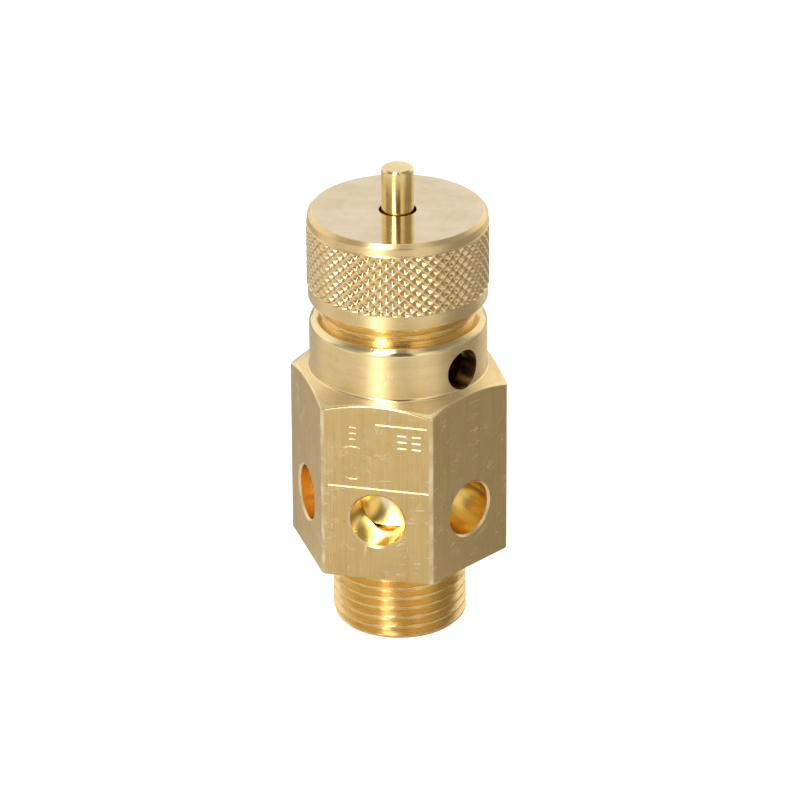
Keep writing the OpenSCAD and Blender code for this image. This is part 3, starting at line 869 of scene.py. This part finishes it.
def crossHole(obj, name):
    bm = bmesh.new()
    reach = at["shutterR"] + 1
    turned(bm, [(0, -reach), (at["pinR"], -reach), (at["pinR"], reach), (0, reach)], 32, closed=False)
    for vert in bm.verts:
        vert.co = Quaternion((0, 1, 0), math.radians(90)) @ vert.co + Vector((0, 0, at["pinZ"] * mm))
    cutOut(obj, bm, [finishes[name]])


def makeStem():
    size = {"r": 2.0, "groove": 0.4, "chamfer": 0.25}
    r, groove = size["r"], size["r"] - size["groove"]
    outline = [(0, at["stemLow"]), (r, at["stemLow"]), (r, at["clipZ"]), (groove, at["clipZ"]),
               (groove, at["clipTop"]), (r, at["clipTop"]), (r, at["stemTop"] - size["chamfer"]),
               (r - size["chamfer"], at["stemTop"]), (0, at["stemTop"])]
    bm = bmesh.new()
    points = rounded(outline, 0.08)
    turned(bm, points, 96, [0] * (len(points) - 4) + [1], closed=False)
    stem = newPiece("lift_stem", bm, [finishes["stemBrass"], finishes["rimBrass"]])
    crossHole(stem, "stemBrass")
    finishPiece(stem, "stem_set", "bright_brass", "stem")


def makeShutter():
    size = {"skirtR": 6.05, "bottom": 18.0, "screwR": 1.25, "screwTop": 21.3, "stemR": 2.0}
    r = at["shutterR"]
    outline = [(0, size["screwTop"]), (size["screwR"], size["screwTop"]), (size["screwR"], at["sealTop"]),
               (at["sealR"], at["sealTop"]), (at["sealR"], at["seatZ"]), (size["skirtR"], at["seatZ"]),
               (size["skirtR"], at["shutterZ"]), (r, at["shutterZ"]), (r, at["ringLow"]),
               (at["grooveR"], at["ringLow"]), (at["grooveR"], at["ringTop"]), (r, at["ringTop"]),
               (r, at["shutterTop"]), (size["stemR"], at["shutterTop"]), (size["stemR"], at["stemLow"]),
               (0, at["stemLow"])]
    bm = bmesh.new()
    turned(bm, rounded(outline, 0.07), 128, closed=False)
    shutter = newPiece("polished_shutter", bm, [finishes["polishedBrass"]])
    crossHole(shutter, "polishedBrass")
    finishPiece(shutter, "stem_set", "bright_brass", "shutter")


springSize = {"wireR": 0.7, "turns": 5.25, "gap": 0.08, "steps": 64, "sides": 20, "travel": 1.5}


def springTree():
    tree, size, out = geometryTree("coilSpring", {
        "Coil radius": 0.005, "Wire radius": 0.0007, "Turns": springSize["turns"], "Low": 0.0,
        "Length": 0.011, "Gap": 0.0001})
    count = int(springSize["turns"] * springSize["steps"])
    line = tree.nodes.new("GeometryNodeCurvePrimitiveLine")
    sample = tree.nodes.new("GeometryNodeResampleCurve")
    sample.inputs["Count"].default_value = count + 1
    tree.links.new(line.outputs[0], sample.inputs["Curve"])
    index = tree.nodes.new("GeometryNodeInputIndex").outputs[0]
    t = calc(tree, "MULTIPLY", calc(tree, "DIVIDE", index, float(count)), size["Turns"])
    wire = calc(tree, "MULTIPLY", size["Wire radius"], 2.0)
    endPitch = calc(tree, "ADD", wire, size["Gap"])
    middle = minus(tree, minus(tree, size["Length"], wire), calc(tree, "MULTIPLY", endPitch, 2.0))
    openPitch = calc(tree, "DIVIDE", middle, minus(tree, size["Turns"], 2.0))
    last = minus(tree, size["Turns"], 1.0)
    ends = calc(tree, "ADD", calc(tree, "MINIMUM", t, 1.0),
                calc(tree, "MAXIMUM", minus(tree, t, last), 0.0))
    opens = calc(tree, "MAXIMUM", minus(tree, calc(tree, "MINIMUM", t, last), 1.0), 0.0)
    z = calc(tree, "ADD", calc(tree, "MULTIPLY", endPitch, ends), calc(tree, "MULTIPLY", openPitch, opens))
    z = calc(tree, "ADD", z, calc(tree, "ADD", size["Low"], size["Wire radius"]))
    angle = calc(tree, "MULTIPLY", t, 2 * math.pi)
    move = tree.nodes.new("GeometryNodeSetPosition")
    tree.links.new(sample.outputs[0], move.inputs["Geometry"])
    tree.links.new(join(tree, calc(tree, "MULTIPLY", calc(tree, "COSINE", angle), size["Coil radius"]),
                        calc(tree, "MULTIPLY", calc(tree, "SINE", angle), size["Coil radius"]), z),
                   move.inputs["Position"])
    ring = tree.nodes.new("GeometryNodeCurvePrimitiveCircle")
    ring.inputs["Resolution"].default_value = springSize["sides"]
    tree.links.new(size["Wire radius"], ring.inputs["Radius"])
    sweep = tree.nodes.new("GeometryNodeCurveToMesh")
    sweep.inputs["Fill Caps"].default_value = True
    tree.links.new(move.outputs[0], sweep.inputs["Curve"])
    tree.links.new(ring.outputs[0], sweep.inputs["Profile Curve"])
    smooth = tree.nodes.new("GeometryNodeSetShadeSmooth")
    tree.links.new(sweep.outputs[0], smooth.inputs[0])
    endTree(tree, smooth.outputs[0], out, "springSteel")
    return tree


def makeSpring():
    size = springSize
    mesh = bpy.data.meshes.new("pressure_spring")
    spring = bpy.data.objects.new("pressure_spring", mesh)
    bpy.context.scene.collection.objects.link(spring)
    runTree(spring, springTree(), {
        "Coil radius": (at["springR"] - size["wireR"]) * mm, "Wire radius": size["wireR"] * mm,
        "Turns": size["turns"], "Low": at["springLow"] * mm,
        "Length": (at["springTop"] - at["springLow"]) * mm, "Gap": size["gap"] * mm})
    spring.data.set_sharp_from_angle(angle=math.radians(40))
    finishPiece(spring, "valve", "spring_steel", "main_spring")
    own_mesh(spring)


makeBody()
makeCap()
makeStem()
makeShutter()
makeSpring()

plainNodes = {
    "adjusting_screw": "turnedBrass", "lock_ring": "turnedBrass", "stem_bush": "bronze",
    "thrust_washer": "plastic", "upper_spring_plate": "steel", "lower_spring_plate": "steel",
    "guide_ring": "plastic", "seal_disc": "rubber", "seal_washer": "steel", "seal_screw": "steel",
    "stem_pin": "steel", "stem_washer": "steel", "stem_clip": "springSteel", "lift_ring": "steel",
    "cap_snap_ring": "springSteel",
}
for node, name in plainNodes.items():
    obj = frame["nodes"][node]
    obj.data.materials.clear()
    obj.data.materials.append(finishes[name])
print("pieces ready")


camera = {"azimuth": 13.3, "elevation": 25.81, "distance": 0.69681, "targetZ": 0.0305, "lens": 253.1,
          "shiftX": 0.0018, "shiftY": -0.01034, "roll": 0.288}


def makeCamera():
    data = bpy.data.cameras.new("camera")
    obj = bpy.data.objects.new("camera", data)
    bpy.context.scene.collection.objects.link(obj)
    a, e = math.radians(camera["azimuth"]), math.radians(camera["elevation"])
    back = Vector((math.sin(a) * math.cos(e), -math.cos(a) * math.cos(e), math.sin(e)))
    obj.location = Vector((0, 0, camera["targetZ"])) + back * camera["distance"]
    obj.rotation_mode = "QUATERNION"
    obj.rotation_quaternion = ((-back).to_track_quat("-Z", "Y")
                               @ Quaternion((0, 0, 1), -math.radians(camera["roll"])))
    data.sensor_width = 36
    data.lens = camera["lens"]
    data.shift_x, data.shift_y = camera["shiftX"], camera["shiftY"]
    data.clip_start, data.clip_end = 0.05, 20
    bpy.context.scene.camera = obj


def azimuthOf(tree, x, y):
    # Degrees round from the front of the valve
    return calc(tree, "MULTIPLY", calc(tree, "ARCTAN2", x, calc(tree, "MULTIPLY", y, -1.0)), 180 / math.pi)


def dim(tree, level, around, gaps):
    # Lowers a level round the given directions; for the world these are dark cards beside the valve, for the
    # floor painted shade on the paper
    for gap in gaps:
        off = calc(tree, "ABSOLUTE", minus(tree, around, gap["azimuth"]))
        shade = ramp(tree, off, gap["half"], gap["half"] + gap["soft"], gap["depth"], 0.0)
        level = calc(tree, "MULTIPLY", minus(tree, 1.0, shade), level)
    return level


def makeFloor():
    # pale paper, seen as white and lighting the metal as light grey, with painted shade round some directions
    material = bpy.data.materials.new("paper")
    material.use_nodes = True
    tree = material.node_tree
    shader = tree.nodes["Principled BSDF"]
    x, y, z = split(tree, tree.nodes.new("ShaderNodeTexCoord").outputs["Object"])
    around = azimuthOf(tree, x, y)
    # painted shade: the paper is darker round the given directions, where the valve's shadow would fall, so
    # the hex's side faces mirror a shaded floor
    paperShade = dim(tree, stage["paper"], around, stage["paintedFloorShade"])
    tree.links.new(join(tree, paperShade, paperShade, paperShade), shader.inputs["Base Color"])
    shader.inputs["Roughness"].default_value = 0.9
    shader.inputs["Specular IOR Level"].default_value = 0.1
    glow = tree.nodes.new("ShaderNodeEmission")
    glow.inputs["Color"].default_value = (1, 1, 1, 1)
    path = tree.nodes.new("ShaderNodeLightPath")
    seen = calc(tree, "MULTIPLY", path.outputs["Is Camera Ray"], stage["glow"])
    tree.links.new(seen, glow.inputs["Strength"])
    both = tree.nodes.new("ShaderNodeAddShader")
    tree.links.new(shader.outputs[0], both.inputs[0])
    tree.links.new(glow.outputs[0], both.inputs[1])
    tree.links.new(both.outputs[0], tree.nodes["Material Output"].inputs["Surface"])
    bm = bmesh.new()
    bmesh.ops.create_grid(bm, x_segments=8, y_segments=8, size=3)
    floor = newPiece("floor", bm, [material], sharp=0)
    floor.location.z = cadBox[0].z - 0.00002


def makeLight(name, azimuth, elevation, distance, width, height, brightness, colour=(1, 1, 1)):
    data = bpy.data.lights.new(name, "AREA")
    data.shape = "RECTANGLE"
    data.size, data.size_y = width, height
    data.energy = brightness * math.pi * width * height
    data.color = colour
    obj = bpy.data.objects.new(name, data)
    bpy.context.scene.collection.objects.link(obj)
    a, e = math.radians(azimuth), math.radians(elevation)
    back = Vector((math.sin(a) * math.cos(e), -math.cos(a) * math.cos(e), math.sin(e)))
    obj.location = Vector((0, 0, 0.03)) + back * distance
    obj.rotation_mode = "QUATERNION"
    obj.rotation_quaternion = back.to_track_quat("Z", "Y")
    obj.visible_camera = False


def makeWorld():
    # a white tent with a dark gap where the camera stands
    world = bpy.data.worlds.new("studio")
    world.use_nodes = True
    bpy.context.scene.world = world
    tree = world.node_tree
    x, y, z = split(tree, tree.nodes.new("ShaderNodeTexCoord").outputs["Generated"])
    around = azimuthOf(tree, x, y)
    above = calc(tree, "MULTIPLY", calc(tree, "ARCSINE", z), 180 / math.pi)
    walls = dim(tree, stage["wall"], around, stage["wallGaps"])
    belt = calc(tree, "MULTIPLY", ramp(tree, above, *stage["beltRise"]),
                ramp(tree, above, *stage["beltFall"], 1.0, 0.0))
    walls = calc(tree, "MULTIPLY", walls, minus(tree, 1.0, calc(tree, "MULTIPLY", belt, stage["belt"])))
    upper = ramp(tree, above, *stage["ceilingRise"])
    lower = calc(tree, "MULTIPLY", walls, minus(tree, 1.0, upper))
    level = calc(tree, "MULTIPLY_ADD", upper, stage["ceiling"], lower)
    light = tree.nodes["Background"]
    light.inputs["Color"].default_value = (1, 1, 1, 1)
    tree.links.new(level, light.inputs["Strength"])
    white = tree.nodes.new("ShaderNodeBackground")
    white.inputs["Color"].default_value = (1, 1, 1, 1)
    white.inputs["Strength"].default_value = stage["backdrop"]
    path = tree.nodes.new("ShaderNodeLightPath")
    mix = tree.nodes.new("ShaderNodeMixShader")
    tree.links.new(path.outputs["Is Camera Ray"], mix.inputs[0])
    tree.links.new(light.outputs[0], mix.inputs[1])
    tree.links.new(white.outputs[0], mix.inputs[2])
    tree.links.new(mix.outputs[0], tree.nodes["World Output"].inputs["Surface"])


stage = {
    "paper": 0.68, "glow": 0.9, "wall": 1.08, "ceiling": 0.95, "belt": 0.35,
    "beltRise": (32.0, 46.0), "beltFall": (62.0, 74.0), "ceilingRise": (60.0, 76.0), "backdrop": 1.05,
    # painted shade on the paper, beside and behind the valve
    "paintedFloorShade": [{"azimuth": 104, "half": 15, "soft": 35, "depth": 0.55},
                  {"azimuth": -133, "half": 15, "soft": 30, "depth": 0.35}],
    "wallGaps": [{"azimuth": 18, "half": 10, "soft": 10, "depth": 0.85},
                 {"azimuth": 95, "half": 20, "soft": 30, "depth": 0.6},
                 {"azimuth": -55, "half": 14, "soft": 20, "depth": 0.55}],
    "lights": [("keyStrip", -13.5, 40, 0.9, 0.22, 1.15, 9.5)],
}
makeFloor()
makeWorld()
for spec in stage["lights"]:
    makeLight(*spec)
makeCamera()
bpy.context.scene.view_settings.view_transform = "Standard"
bpy.context.scene.cycles.glossy_bounces = 8
print("stage ready")
